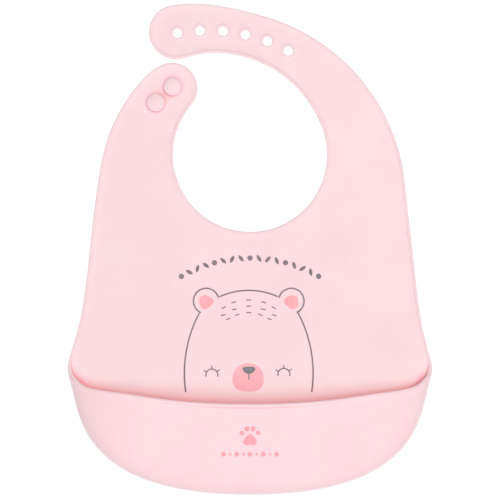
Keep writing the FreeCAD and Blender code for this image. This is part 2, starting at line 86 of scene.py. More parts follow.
def spline(points, first_way, last_way, step=1.2):
    """Smooth cubic through the points, with the given directions at its ends."""
    n = len(points)
    spans = [math.dist(points[i], points[i + 1]) for i in range(n - 1)]

    def unit(v):
        size = math.hypot(*v)
        return (v[0] / size, v[1] / size)

    ways = []
    first_way, last_way = unit(first_way), unit(last_way)
    for axis in (0, 1):
        # tangents from a tridiagonal system (C2 spline with clamped ends)
        low, mid, high, right = [0] * n, [1.0] * n, [0] * n, [0.0] * n
        right[0], right[-1] = first_way[axis], last_way[axis]
        for i in range(1, n - 1):
            a, b = spans[i - 1], spans[i]
            low[i], mid[i], high[i] = b, 2 * (a + b), a
            right[i] = 3 * (a * (points[i + 1][axis] - points[i][axis]) / b
                            + b * (points[i][axis] - points[i - 1][axis]) / a)
        for i in range(1, n):
            f = low[i] / mid[i - 1]
            mid[i] -= f * high[i - 1]
            right[i] -= f * right[i - 1]
        out = [0.0] * n
        out[-1] = right[-1] / mid[-1]
        for i in range(n - 2, -1, -1):
            out[i] = (right[i] - high[i] * out[i + 1]) / mid[i]
        ways.append(out)
    result = []
    for i in range(n - 1):
        count = max(2, int(spans[i] / step))
        for k in range(count):
            t = k / count
            h = (2 * t ** 3 - 3 * t * t + 1, t ** 3 - 2 * t * t + t,
                 -2 * t ** 3 + 3 * t * t, t ** 3 - t * t)
            result.append(tuple(h[0] * points[i][c] + h[1] * spans[i] * ways[c][i]
                                + h[2] * points[i + 1][c] + h[3] * spans[i] * ways[c][i + 1]
                                for c in (0, 1)))
    result.append(points[-1])
    return result


def way_at(degrees, sign=1):
    """Direction along a circle at an angle: counter-clockwise, or clockwise for sign -1."""
    a = math.radians(degrees)
    return (-math.sin(a) * sign, math.cos(a) * sign)


def lower_side(side, start, way):
    """One side of the panel and the pocket, from the start down to the middle of the bottom."""
    half = (RIGHT_SIDE if side > 0 else LEFT_SIDE) + POCKET_SIDE
    points = [start] + [(side * x, z) for x, z in half]
    return spline(points, way, (-side, 0))


def outline():
    """The whole edge as one closed run of points, counter-clockwise seen from the front."""
    start_angle = math.degrees(math.asin(-LONG_OUT[1] / LONG_OUT_R))
    start = polar(LONG_OUT, LONG_OUT_R, start_angle)
    short_start, short_way = (-92.4, 0.0), (-0.22, -1.0)
    runs = [
        lower_side(1, start, way_at(start_angle, -1))[::-1],
        arc(LONG_OUT, LONG_OUT_R, start_angle, 74.0),
        spline([polar(LONG_OUT, LONG_OUT_R, 74.0), (-8.0, 91.5), (-28.0, 94.7),
                polar(LONG_TIP, LONG_TIP_R, 100.0)], way_at(74.0), way_at(100.0)),
        arc(LONG_TIP, LONG_TIP_R, 100.0, 282.0, 0.9),
        spline([polar(LONG_TIP, LONG_TIP_R, 282.0), (-36.0, 62.3),
                polar(LONG_IN, LONG_IN_R, 92.0)], way_at(282.0), way_at(92.0, -1)),
        arc(LONG_IN, LONG_IN_R, 92.0, LONG_JOIN),
        arc((0, 0), NECK_R, LONG_JOIN, SHORT_JOIN - 360.0),
        arc(SHORT_TIP, SHORT_TIP_R, SHORT_JOIN - 180.0, 113.0, 0.9),
        spline([polar(SHORT_TIP, SHORT_TIP_R, 113.0), (-72.9, 41.0), (-85.1, 21.5), short_start],
               way_at(113.0), short_way),
        lower_side(-1, short_start, short_way),
    ]
    points = []
    for run in runs:
        points += run[:-1]
    return points


def inward(points):
    """Unit direction into the silicone at each point of a counter-clockwise run."""
    result = []
    for i in range(len(points)):
        a, b = points[i - 1], points[(i + 1) % len(points)]
        size = math.dist(a, b)
        result.append((-(b[1] - a[1]) / size, (b[0] - a[0]) / size))
    return result


# ------------------------------------------------------------------ mesh helpers
def to_world(x, z, front):
    """Point at x and z, a distance ahead of the back face."""
    return Vector((x * MM, -front * MM, z * MM))


def add_object(name, bm, material):
    """Object of a mesh, linked to the scene."""
    mesh = bpy.data.meshes.new(name)
    bm.to_mesh(mesh)
    bm.free()
    obj = bpy.data.objects.new(name, mesh)
    bpy.context.scene.collection.objects.link(obj)
    mesh.materials.append(material)
    return obj


def finish_mesh(name, bm, material, smooth=True):
    """Object of a mesh that was built face by face."""
    bmesh.ops.remove_doubles(bm, verts=bm.verts, dist=WELD * MM)
    bmesh.ops.recalc_face_normals(bm, faces=bm.faces)
    for face in bm.faces:
        face.smooth = smooth
    return add_object(name, bm, material)


def attach(obj, node, body):
    """The object takes the node's place and moves with the body."""
    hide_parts(node)
    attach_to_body(obj, body)


def inside(border, x, z):
    """Whether a point is inside a closed run of points."""
    hit = False
    for a, b in zip(border, border[-1:] + border[:-1]):
        if (a[1] > z) != (b[1] > z) and x < (b[0] - a[0]) * (z - a[1]) / (b[1] - a[1]) + a[0]:
            hit = not hit
    return hit


def middle_of(points, face):
    """Middle of a face's corners."""
    return tuple(sum(points[k][c] for k in face) / len(face) for c in (0, 1))


def ring_faces(bm, a, b):
    """Quads between two closed rings of vertices."""
    for i in range(len(a)):
        j = (i + 1) % len(a)
        bm.faces.new((a[i], a[j], b[j], b[i]))


# ------------------------------------------------------------------ the moulding
# Cross-section of the rounded edge: (distance in from the edge, height above the back).
RIM = [(0.45, 0.0), (0.13, 0.1), (0.0, 0.42), (0.0, 1.35), (0.06, 1.85), (0.3, 2.32),
       (0.68, 2.56), (1.05, 2.6), (1.42, 2.48), (1.72, 2.2), (1.98, 1.92), (2.4, 1.8)]
# Cross-section of a hole: (distance out from the hole's wall, height above the back).
BORE = [(0.3, 0.0), (0.08, 0.08), (0.0, 0.3), (0.0, 1.6), (0.12, 2.0), (0.45, 2.26), (0.85, 2.3),
        (1.3, 2.2), (1.62, 1.98), (1.85, 1.84), (2.2, 1.8)]
HOLE_R = 2.95
BORE_SIDES = 36
GRID = 5.0           # spacing of the points inside the flat faces
EDGE_GAP = 2.0       # those points stay this far from an edge
HOLE_GAP = 3.0       # and this far from a hole
POINT_MERGE = 1e-5


def clear_of(loops, x, z):
    """Whether a grid point keeps its gaps from the border, loops[0], and the holes' loops."""
    for n, loop in enumerate(loops):
        for v in loop:
            if abs(v.co.x / MM - x) < EDGE_GAP and abs(v.co.z / MM - z) < EDGE_GAP:
                return False
        if n and math.dist((x, z), HOLES[n - 1]) < HOLE_R + HOLE_GAP:
            return False
    return True


def staggered_grid(border, loops):
    """Points of a staggered grid inside the border and clear of the loops."""
    steps = [range(math.floor(min(p[c] for p in border) / GRID),
                   math.ceil(max(p[c] for p in border) / GRID) + 1) for c in (0, 1)]
    spots = [((i + (0.5 if k % 2 else 0.0)) * GRID, k * GRID) for i in steps[0] for k in steps[1]]
    return [Vector(p) for p in spots if inside(border, *p) and clear_of(loops, *p)]


def fill_flat(bm, loops, bore_r, height):
    """Flat face between the border, loops[0], and the holes' loops, with even triangles."""
    flat, edges, verts = [], [], []
    for loop in loops:
        base = len(flat)
        flat += [Vector((v.co.x / MM, v.co.z / MM)) for v in loop]
        verts += loop
        edges += [(base + i, base + (i + 1) % len(loop)) for i in range(len(loop))]
    border = [tuple(p) for p in flat[:len(loops[0])]]
    flat += staggered_grid(border, loops)
    points, _, faces, sources = delaunay_2d_cdt(flat, edges, [], 0, POINT_MERGE, True)[:4]
    corners = []
    for point, origins in zip(points, sources):
        old = [k for k in origins if k < len(verts)]
        corners.append(verts[old[0]] if old else bm.verts.new(to_world(*point, height)))
    open_r = bore_r * math.cos(math.pi / BORE_SIDES)
    for face in faces:
        middle = middle_of(points, face)
        if inside(border, *middle) and all(math.dist(middle, hole) >= open_r for hole in HOLES):
            bm.faces.new([corners[k] for k in face])


def moulding():
    """The panel and both straps as one closed mesh."""
    bm = bmesh.new()
    edge = outline()
    rim = [[bm.verts.new(to_world(p[0] + way[0] * inset, p[1] + way[1] * inset, height))
            for p, way in zip(edge, inward(edge))] for inset, height in RIM]
    bores = [[[bm.verts.new(to_world(*polar(hole, HOLE_R + out, 360.0 * k / BORE_SIDES), height))
               for k in range(BORE_SIDES)] for out, height in BORE] for hole in HOLES]
    for rings in [rim] + bores:
        for a, b in zip(rings, rings[1:]):
            ring_faces(bm, a, b)
    for end, height in ((-1, SHEET), (0, 0.0)):
        fill_flat(bm, [rings[end] for rings in [rim] + bores], HOLE_R + BORE[end][0], height)
    bmesh.ops.recalc_face_normals(bm, faces=bm.faces)
    return bm


# ------------------------------------------------------------------ cutting it into pieces
FOLD_Z, FOLD_HALF = -55.0, 4.0
SHOULDER_Z, SHOULDER_HALF = 8.0, 3.0
CURL_HALF, CURL_HALF_SMALL = 3.0, 1.7
LONG_TIP_ABOVE = 59.0      # the long strap's tip lies above this line
SHORT_TIP_BELOW = 59.2     # and the short strap's tip below this one
CUT_NEAR = 1e-7
FOLD_CUTS, CURL_CUTS = 8, 6
# A curl line is the middle of a flexing strip: its centre, its direction and half its width.


def line_from(centre, degrees, along, half):
    """Curl line on a ray from a centre."""
    return (polar(centre, along, degrees), polar((0, 0), 1.0, degrees), half)


def line_between(a, b, half):
    """Curl line midway between two points, running upward."""
    size = math.dist(a, b)
    way = ((b[1] - a[1]) / size, -(b[0] - a[0]) / size)
    if way[1] < 0:
        way = (-way[0], -way[1])
    return (((a[0] + b[0]) / 2, (a[1] + b[1]) / 2), way, half)


LONG_LINES = [line_from((-23.7, -20.0), 34.0, 95.0, CURL_HALF),
              line_from((-23.7, -20.0), 55.0, 97.0, CURL_HALF),
              line_between(HOLES[5], HOLES[4], CURL_HALF_SMALL),
              line_between(HOLES[3], HOLES[2], CURL_HALF_SMALL),
              line_between(HOLES[1], HOLES[0], CURL_HALF_SMALL)]
SHORT_LINES = [line_from((0.0, 0.0), 159.0, 70.0, CURL_HALF),
               line_between(STUDS[0], STUDS[1], CURL_HALF_SMALL)]


# A half plane is a point on its edge and the direction into the side that is kept.
def above(z):
    return ((0.0, z), (0.0, 1.0))


def below(z):
    return ((0.0, z), (0.0, -1.0))


def beside(mark, across, side):
    """Half plane on the left (side 1) or right (-1) of a line beside a curl line."""
    (x, z), (u, w), _ = mark
    left = (-w, u)
    return ((x + left[0] * across, z + left[1] * across), (left[0] * side, left[1] * side))


def cut_out(planes, seed, bends):
    """Closed part of the moulding between the half planes that holds the seed point."""
    bm = whole.copy()
    cap = bm.faces.layers.int.new("cap")
    for (x, z), (nx, nz) in planes:
        bmesh.ops.bisect_plane(bm, geom=bm.verts[:] + bm.edges[:] + bm.faces[:], dist=CUT_NEAR,
                               plane_co=to_world(x, z, 0), plane_no=(nx, 0, nz),
                               clear_inner=True)
        open_edges = [e for e in bm.edges if e.is_boundary]
        filled = bmesh.ops.holes_fill(bm, edges=open_edges, sides=0)["faces"]
        for face in filled:
            face[cap] = 1
        bmesh.ops.triangulate(bm, faces=filled)
    for (x, z), (nx, nz) in bends:
        bmesh.ops.bisect_plane(bm, geom=bm.verts[:] + bm.edges[:] + bm.faces[:], dist=CUT_NEAR,
                               plane_co=to_world(x, z, 0), plane_no=(nx, 0, nz))
    start = min(bm.verts, key=lambda v: (v.co - to_world(*seed, 0)).length)
    keep, todo = {start}, [start]
    while todo:
        for edge in todo.pop().link_edges:
            new = [v for v in edge.verts if v not in keep]
            keep.update(new)
            todo += new
    bmesh.ops.delete(bm, geom=[v for v in bm.verts if v not in keep], context="VERTS")
    return bm


def cut_piece(name, planes, seed, bends=()):
    """Object cut from the moulding. Its hidden cut faces stay flat, so the surface runs on."""
    bm = cut_out(planes, seed, bends)
    cap = bm.faces.layers.int["cap"]
    for face in bm.faces:
        face.smooth = not face[cap]
    for edge in bm.edges:
        if len(edge.link_faces) == 2 and edge.link_faces[0][cap] != edge.link_faces[1][cap]:
            edge.smooth = False
    bm.faces.layers.int.remove(cap)
    return add_object(name, bm, PINK)


def rigid_piece(name, node, planes, seed, body):
    """Stiff region of the moulding, carried by one body."""
    attach(cut_piece(name, planes, seed), node, body)


def flexing_piece(name, node, planes, seed, bends):
    """Strip between two stiff regions, with rows of cuts across it; it is not attached to a body.
    """
    obj = cut_piece(name, planes, seed, bends)
    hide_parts(node)
    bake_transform(obj)


def bends_across(mark, count):
    """Cuts that part a flexing strip into equal lengths."""
    half = mark[2]
    return [beside(mark, -half + 2 * half * k / count, 1) for k in range(1, count)]


def curl_piece(name, node, mark):
    """Flexing strip on a curl line."""
    (x, z), (u, w), half = mark
    flexing_piece(name, node, [beside(mark, -half, 1), beside(mark, half, -1)], (x, z),
                  bends_across(mark, CURL_CUTS))


# ------------------------------------------------------------------ materials
NOISE_LOW, NOISE_HIGH = 0.3, 0.7


def new_material(name):
    """A material, its node tree and its main shader."""
    material = bpy.data.materials.new(name)
    material.use_nodes = True
    tree = material.node_tree
    return material, tree, tree.nodes["Principled BSDF"]


def noise(tree, vector, scale, detail, rough=0.5):
    """Cloudy value at a place, mostly between NOISE_LOW and NOISE_HIGH."""
    node = tree.nodes.new("ShaderNodeTexNoise")
    node.inputs["Scale"].default_value = scale
    node.inputs["Detail"].default_value = detail
    node.inputs["Roughness"].default_value = rough
    tree.links.new(vector, node.inputs["Vector"])
    return node.outputs["Fac"]


def ramp(tree, value, stops):
    """Colour for a value, from stops of (value, colour)."""
    node = tree.nodes.new("ShaderNodeValToRGB")
    node.color_ramp.elements[0].position, node.color_ramp.elements[0].color = stops[0]
    node.color_ramp.elements[1].position, node.color_ramp.elements[1].color = stops[-1]
    for position, colour in stops[1:-1]:
        node.color_ramp.elements.new(position).color = colour
    tree.links.new(value, node.inputs["Fac"])
    return node.outputs["Color"]


def scaled(tree, value, low, high):
    """Noise value turned into one that runs from low to high."""
    node = tree.nodes.new("ShaderNodeMapRange")
    node.inputs["From Min"].default_value = NOISE_LOW
    node.inputs["From Max"].default_value = NOISE_HIGH
    node.inputs["To Min"].default_value = low
    node.inputs["To Max"].default_value = high
    tree.links.new(value, node.inputs["Value"])
    return node.outputs["Result"]


def bump(tree, height, strength, distance, base=None):
    """Normal of a fine relief, on top of a base normal."""
    node = tree.nodes.new("ShaderNodeBump")
    node.inputs["Strength"].default_value = strength
    node.inputs["Distance"].default_value = distance
    tree.links.new(height, node.inputs["Height"])
    if base is not None:
        tree.links.new(base, node.inputs["Normal"])
    return node.outputs["Normal"]


def linear(r, g, b):
    """sRGB 0-255 to the linear colour a shader takes."""
    out = []
    for c in (r, g, b):
        c /= 255.0
        out.append(c / 12.92 if c <= 0.04045 else ((c + 0.055) / 1.055) ** 2.4)
    return (*out, 1.0)


FOLD_SHADE_PINK = linear(255, 150, 160)      # painted shade: deep pink in a deep fold, in place of the shade and the light through the silicone there
FOLD_LIGHT_PINK = linear(250, 229, 232)      # painted light: paler in a wide, shallow fold, in place of light through the wall beside it
CREASE_SHADE_PINK = linear(240, 165, 173)    # painted shade beside studs, rings and the raised edge
# Each painted tint comes in as the openness falls from the second value to the first.
FOLD_SHADE_RANGE, FOLD_LIGHT_RANGE, CREASE_SHADE_RANGE = (0.3, 0.6), (0.72, 0.97), (0.45, 0.93)
FAR_REACH, NEAR_REACH = 0.08, 0.008    # metres


def openness(tree, reach):
    """Ambient occlusion: 1 on open ground, falling to 0 where other silicone closes round within
    the reach; it places the painted shade and painted light.
    """
    node = tree.nodes.new("ShaderNodeAmbientOcclusion")
    node.inputs["Distance"].default_value = reach
    return node.outputs["AO"]


def tinted(tree, colour, tone, free, low, high):
    """The colour, turning to the tone as the openness falls from high to low."""
    node = tree.nodes.new("ShaderNodeMix")
    node.data_type = "RGBA"
    node.inputs["A"].default_value = tone
    tree.links.new(ramp(tree, free, [(low, (0.0, 0.0, 0.0, 1.0)), (high, (1.0, 1.0, 1.0, 1.0))]),
                   node.inputs["Factor"])
    tree.links.new(colour, node.inputs["B"])
    return node.outputs["Result"]


def silicone(name, light, dark):
    """Soft moulded silicone: cloudy colour, painted shade and painted light in its folds, painted
    shade in creases, handling marks, a fine skin.
    """
    material, tree, shader = new_material(name)
    place = tree.nodes.new("ShaderNodeTexCoord").outputs["Object"]
    colour = ramp(tree, noise(tree, place, 22.0, 3.0, 0.55), [(0.32, dark), (0.68, light)])
    far, near = openness(tree, FAR_REACH), openness(tree, NEAR_REACH)
    # painted light in wide folds, painted shade in deep folds and beside studs, rings and the edge
    colour = tinted(tree, colour, FOLD_LIGHT_PINK, far, *FOLD_LIGHT_RANGE)
    colour = tinted(tree, colour, FOLD_SHADE_PINK, far, *FOLD_SHADE_RANGE)
    colour = tinted(tree, colour, CREASE_SHADE_PINK, near, *CREASE_SHADE_RANGE)
    tree.links.new(colour, shader.inputs["Base Color"])
    marks = noise(tree, place, 70.0, 5.0, 0.65)
    tree.links.new(scaled(tree, marks, 0.44, 0.54), shader.inputs["Roughness"])
    wave = bump(tree, noise(tree, place, 45.0, 2.0), 0.25, 0.0006)
    skin = bump(tree, noise(tree, place, 1400.0, 3.0, 0.6), 0.12, 0.00012, wave)
    tree.links.new(skin, shader.inputs["Normal"])
    shader.inputs["Specular IOR Level"].default_value = 0.3
    shader.inputs["Sheen Weight"].default_value = 0.7
    shader.inputs["Sheen Roughness"].default_value = 0.3
    return material


def ink(name, light, dark):
    """Screen-printed ink: slightly uneven in colour and gloss."""
    material, tree, shader = new_material(name)
    place = tree.nodes.new("ShaderNodeTexCoord").outputs["Object"]
    colour = ramp(tree, noise(tree, place, 240.0, 4.0, 0.6), [(0.3, dark), (0.7, light)])
    tree.links.new(colour, shader.inputs["Base Color"])
    tree.links.new(scaled(tree, noise(tree, place, 420.0, 3.0), 0.5, 0.64),
                   shader.inputs["Roughness"])
    tree.links.new(bump(tree, noise(tree, place, 2600.0, 2.0), 0.1, 0.00005),
                   shader.inputs["Normal"])
    shader.inputs["Specular IOR Level"].default_value = 0.3
    return material


PINK = silicone("pink_silicone", linear(237, 208, 212), linear(235, 203, 208))
POCKET_PINK = silicone("pocket_silicone", linear(240, 207, 213), linear(238, 203, 209))
GREY = ink("grey_ink", linear(138, 120, 128), linear(120, 104, 112))
NOSE_GREY = ink("nose_ink", linear(132, 132, 139), linear(120, 120, 127))
EAR_CORAL = ink("ear_ink", linear(253, 171, 177), linear(250, 162, 169))
# the ears' coral ink made lighter on the muzzle: painted light against the shade that falls there
LIT_MUZZLE_CORAL = ink("muzzle_ink_lit", linear(254, 190, 196), linear(251, 181, 188))
POCKET_CORAL = ink("pocket_ink", linear(248, 163, 171), linear(243, 153, 162))

# ------------------------------------------------------------------ panel and straps
whole = moulding()
yoke_foot, apron_top = FOLD_Z + FOLD_HALF, FOLD_Z - FOLD_HALF
yoke_top, strap_foot = SHOULDER_Z - SHOULDER_HALF, SHOULDER_Z + SHOULDER_HALF
rigid_piece("yoke_panel", "yoke", [above(yoke_foot), below(yoke_top)], (60.0, -30.0), "yoke")
rigid_piece("apron_sheet", "apron_panel", [below(apron_top)], (0.0, -100.0), "apron")
flexing_piece("apron_fold_web", "apron_fold_strip", [above(apron_top), below(yoke_foot)],
              (0.0, FOLD_Z), bends_across(((0.0, FOLD_Z), (1.0, 0.0), FOLD_HALF), FOLD_CUTS))
for x, side, body in ((70.0, "right", "long_strap_a"), (-70.0, "left", "short_strap_a")):
    mark = ((0.0, SHOULDER_Z), (1.0, 0.0), SHOULDER_HALF)
    flexing_piece(side + "_shoulder_fold_web", side + "_shoulder_fold_strip",
                  [above(yoke_top), below(strap_foot)], (x, SHOULDER_Z),
                  bends_across(mark, CURL_CUTS))

LONG_BODIES = ["long_strap_" + letter for letter in "abcdef"]
LONG_PIECES = [("long_strap_root", (70.0, 20.0)), ("long_strap_plain", (45.0, 50.0)),
               ("long_strap_hole_6", (24.0, 72.0)), ("long_strap_holes_5_4", (4.0, 83.0)),
               ("long_strap_holes_3_2", (-24.0, 86.0)), ("long_strap_tip", (-50.0, 88.0))]
for k, ((node, seed), body) in enumerate(zip(LONG_PIECES, LONG_BODIES)):
    lower = beside(LONG_LINES[k - 1], LONG_LINES[k - 1][2], 1) if k else above(strap_foot)
    last = k == len(LONG_LINES)
    upper = above(LONG_TIP_ABOVE) if last else beside(LONG_LINES[k], -LONG_LINES[k][2], -1)
    rigid_piece(node + "_sheet", node, [lower, upper], seed, body)
for k, mark in enumerate(LONG_LINES):
    curl_piece("long_strap_web_%d" % (k + 1), "long_strap_flex_%d" % (k + 1), mark)

SHORT_BODIES = ["short_strap_" + letter for letter in "abc"]
SHORT_PIECES = [("short_strap_root", (-75.0, 16.0)), ("short_strap_length", (-66.0, 30.0)),
                ("short_strap_tip", (-42.0, 50.0))]
for k, ((node, seed), body) in enumerate(zip(SHORT_PIECES, SHORT_BODIES)):
    lower = beside(SHORT_LINES[k - 1], -SHORT_LINES[k - 1][2], -1) if k else above(strap_foot)
    last = k == len(SHORT_LINES)
    upper = below(SHORT_TIP_BELOW) if last else beside(SHORT_LINES[k], SHORT_LINES[k][2], 1)
    rigid_piece(node + "_sheet", node, [lower, upper], seed, body)
for k, mark in enumerate(SHORT_LINES):
    curl_piece("short_strap_web_%d" % (k + 1), "short_strap_flex_%d" % (k + 1), mark)
whole.free()

# ------------------------------------------------------------------ studs
# Half cross-section of a stud: (distance from its axis, height above the back).
STUD = [(0.0, 1.3), (3.3, 1.3), (3.25, 1.82), (2.9, 1.98), (2.7, 2.3), (2.7, 3.85), (2.8, 4.1),
        (3.05, 4.2), (4.9, 4.22), (5.35, 4.35), (5.6, 4.65), (5.65, 4.95), (5.5, 5.3),
        (5.1, 5.62), (4.2, 5.95), (2.8, 6.25), (1.4, 6.37), (0.0, 6.4)]
STUD_SIDES = 48


def stud(node, centre, body):
    """Mushroom button, turned about its axis."""
    bm = bmesh.new()
    rings = []
    for radius, height in STUD:
        spots = [polar(centre, radius, 360.0 * k / STUD_SIDES) for k in range(STUD_SIDES)]
        rings.append([bm.verts.new(to_world(*p, height)) for p in (spots if radius else [centre])])
    for a, b in zip(rings, rings[1:]):
        for k in range(STUD_SIDES):
            j = (k + 1) % STUD_SIDES
            corners = [a[k % len(a)], a[j % len(a)], b[j % len(b)], b[k % len(b)]]
            bm.faces.new(list(dict.fromkeys(corners)))
    attach(finish_mesh(node + "_button", bm, PINK), node, body)


stud("stud_lower", STUDS[0], "short_strap_b")
stud("stud_upper", STUDS[1], "short_strap_c")

# ------------------------------------------------------------------ pocket
POCKET_DEEP = 28.0       # from the panel to the furthest part of the wall
POCKET_WALL = 1.8
POCKET_POWER = 2.3       # roundness of the bowl's section: 2 is an ellipse, more is fuller
POCKET_INSET = 0.6       # from the panel's edge to the wall's foot
FOOT_SUNK = 0.7          # the wall's foot goes this far into the panel
POCKET_ROWS = 30
FIRST_TURN = 1e-4        # the bowl's first row stands just off the panel
LAST_TURN = math.radians(89.0)       # the lip is looked for below this
SMALL_TURN = 0.01        # gives the direction up the bowl
HALVINGS = 40
LIP_GAP = 0.05           # columns shorter than this are left out at the corners
CORNER_HEIGHTS = (-147.0, -136.0)    # the foot's points are closer together between these
CORNER_PARTS = 5
LIP = [(118.0, -130.5), (112.6, -139.0), (103.5, -146.0), (87.3, -148.9), (60.2, -152.4),
       (30.0, -155.2), (0.0, -156.0)]


def both_sides(half):
    """A run from the left corner to the right one, from its right half."""
    return [(-x, z) for x, z in half] + half[-2::-1]


def moved_in(points, inset):
    """Open run of points moved to the left of its way."""
    out = []
    for k, p in enumerate(points):
        a, b = points[max(k - 1, 0)], points[min(k + 1, len(points) - 1)]
        size = math.dist(a, b)
        out.append((p[0] - (b[1] - a[1]) / size * inset, p[1] + (b[0] - a[0]) / size * inset))
    return out


def finer_corners(points):
    """The run with more points near the pocket's corners."""
    out = []
    for a, b in zip(points, points[1:]):
        parts = CORNER_PARTS if CORNER_HEIGHTS[0] < a[1] < CORNER_HEIGHTS[1] else 1
        out += [(a[0] + (b[0] - a[0]) * k / parts, a[1] + (b[1] - a[1]) * k / parts)
                for k in range(parts)]
    return out + [points[-1]]


lip_line = spline(both_sides(LIP), (0.45, -0.9), (0.45, 0.9), 1.0)
pocket_line = spline(both_sides([(CORNER_X, CORNER_Z)] + POCKET_SIDE), (0.12, -1.0), (0.12, 1.0),
                     1.5)
foot_line = finer_corners(moved_in(pocket_line, POCKET_INSET))


def lip_height(x):
    """Height of the lip at a place across the front view."""
    for a, b in zip(lip_line, lip_line[1:]):
        if a[0] <= x <= b[0]:
            return a[1] + (b[1] - a[1]) * (x - a[0]) / (b[0] - a[0])
    return CORNER_Z


def bowl_point(x, z, turn):
    """Point of the bowl over a place on its foot; turn runs from 0 at the panel to 90 degrees."""
    scale = max(math.cos(turn), 0.0) ** (2 / POCKET_POWER)
    ahead = math.sin(turn) ** (2 / POCKET_POWER)
    return Vector((x * scale, -(SHEET + POCKET_DEEP * ahead), CORNER_Z + (z - CORNER_Z) * scale))


def lip_turn(x, z):
    """How far up the bowl the lip lies over a place on its foot, by halving."""
    low, high = 0.0, LAST_TURN
    for _ in range(HALVINGS):
        middle = (low + high) / 2
        p = bowl_point(x, z, middle)
        if p.z < lip_height(p.x):
            low = middle
        else:
            high = middle
    return low


def bowl_columns():
    """The wall's outer and inner points, in columns from the panel up to the lip."""
    feet = [(x, z, lip_turn(x, z)) for x, z in foot_line if z < lip_height(x) - LIP_GAP]
    outer, inner = [], []
    for k, (x, z, top) in enumerate(feet):
        after, before = feet[min(k + 1, len(feet) - 1)], feet[max(k - 1, 0)]
        out_column, in_column = [], []
        for row in range(POCKET_ROWS + 1):
            turn = max(top * (row / POCKET_ROWS), FIRST_TURN)
            p = bowl_point(x, z, turn)
            along = bowl_point(*after[:2], turn) - bowl_point(*before[:2], turn)
            up = bowl_point(x, z, turn + SMALL_TURN) - p
            normal = along.cross(up).normalized()
            outward = Vector((x, -20.0, z - CORNER_Z))
            if normal.dot(outward) < 0:
                normal = -normal
            out_column.append(p)
            in_column.append(p - normal * POCKET_WALL)
        outer.append(out_column)
        inner.append(in_column)
    return outer, inner


def pocket_wall(outer, inner):
    """The wall as one closed mesh, from its foot in the panel up to the lip."""
    bm = bmesh.new()
    grids = []
    for columns in (outer, inner):
        feet = [Vector((column[0].x, -SHEET + FOOT_SUNK, column[0].z)) for column in columns]
        grids.append([[bm.verts.new(p * MM) for p in [foot] + column]
                      for foot, column in zip(feet, columns)])
    for grid in grids:
        for a, b in zip(grid, grid[1:]):
            for k in range(len(a) - 1):
                bm.faces.new((a[k], b[k], b[k + 1], a[k + 1]))
    out, back = grids
    for row in (0, -1):
        for (a, b), (c, d) in zip(zip(out, out[1:]), zip(back, back[1:])):
            bm.faces.new((a[row], b[row], d[row], c[row]))
    for end in (0, -1):
        for k in range(len(out[end]) - 1):
            bm.faces.new((out[end][k], out[end][k + 1], back[end][k + 1], back[end][k]))
    attach(finish_mesh("pocket_bowl", bm, POCKET_PINK), "pocket_wall", "apron")


outer, inner = bowl_columns()
pocket_wall(outer, inner)

# ------------------------------------------------------------------ the lip's bead
BEAD_SIDES = 20
BEAD_STEP = 1.2
BEAD_AHEAD, BEAD_ACROSS = 1.3, 1.15    # half sizes of its section
BEAD_RISE, BEAD_SINK = 0.7, 0.35       # its middle stands this far out of the wall's middle
BEAD_SQUARE = 0.85                     # under 1 makes the section squarer
BEAD_TAPER, BEAD_THIN = 16.0, 0.5      # its ends thin down to this share over this length
BEAD_SMOOTHING = 3
CORNER_RUN = (-139.0, -122.0)          # the part of the panel's edge where it starts
CORNER_RISE = 4.0                      # from the wall's end up to the edge's first point
CORNER_IN, CORNER_AHEAD = 1.0, 1.55    # its middle there, from the edge and from the back


def smooth_step(t):
    """Rise from 0 to 1 that starts and ends level."""
    t = min(t, 1.0)
    return t * t * (3 - 2 * t)


def bead_path():
    """Points and outward directions: off the panel's edge at a corner, then round the mouth."""
    path = [((a[-1] + b[-1]) / 2, (a[-1] - b[-1]).normalized()) for a, b in zip(outer, inner)]
    edge = [p for p in outline() if p[0] > 0 and CORNER_RUN[0] < p[1] < CORNER_RUN[1]]
    edge.sort(key=lambda p: -p[1])
    corner = [(Vector((x - CORNER_IN, -CORNER_AHEAD, z)), Vector((0.0, -1.0, 0.0)))
              for x, z in edge if z > path[-1][0].z + CORNER_RISE]
    other = [(Vector((-p.x, p.y, p.z)), Vector((-n.x, n.y, n.z))) for p, n in corner]
    return other + path + corner[::-1]


def evened(path):
    """The path smoothed at its joints and respaced."""
    points, normals = [p for p, _ in path], [n for _, n in path]
    for _ in range(BEAD_SMOOTHING):
        for items in (points, normals):
            items[1:-1] = [(a + 2 * b + c) / 4 for a, b, c in zip(items, items[1:-1], items[2:])]
    length = [0.0]
    for a, b in zip(points, points[1:]):
        length.append(length[-1] + (b - a).length)
    count = int(length[-1] / BEAD_STEP)
    result, j = [], 0
    for k in range(count + 1):
        want = length[-1] * k / count
        while j < len(points) - 2 and length[j + 1] < want:
            j += 1
        t = (want - length[j]) / max(length[j + 1] - length[j], 1e-9)
        result.append((points[j].lerp(points[j + 1], t), normals[j].lerp(normals[j + 1], t)))
    return result


def lip_bead():
    """Thick rounded bead along the lip, thinner at its ends."""
    bm = bmesh.new()
    path = evened(bead_path())
    loops = []
    for k, (p, n) in enumerate(path):
        along = (path[min(k + 1, len(path) - 1)][0] - path[max(k - 1, 0)][0]).normalized()
        from_end = min(k, len(path) - 1 - k) * BEAD_STEP
        thin = BEAD_THIN + (1 - BEAD_THIN) * smooth_step(from_end / BEAD_TAPER)
        side = along.cross(n).normalized()
        n = side.cross(along).normalized()
        loop = []
        for step in range(BEAD_SIDES):
            ahead, across = (math.copysign(abs(v) ** BEAD_SQUARE, v)
                             for v in polar((0, 0), 1.0, 360.0 * step / BEAD_SIDES))
            out = BEAD_RISE * thin - BEAD_SINK + BEAD_AHEAD * thin * ahead
            loop.append(bm.verts.new((p + n * out + side * (BEAD_ACROSS * thin * across)) * MM))
        loops.append(loop)
    for a, b in zip(loops, loops[1:]):
        ring_faces(bm, a, b)
    bm.faces.new(loops[0])
    bm.faces.new(loops[-1])
    attach(finish_mesh("pocket_lip", bm, POCKET_PINK), "pocket_lip_bead", "apron")


lip_bead()

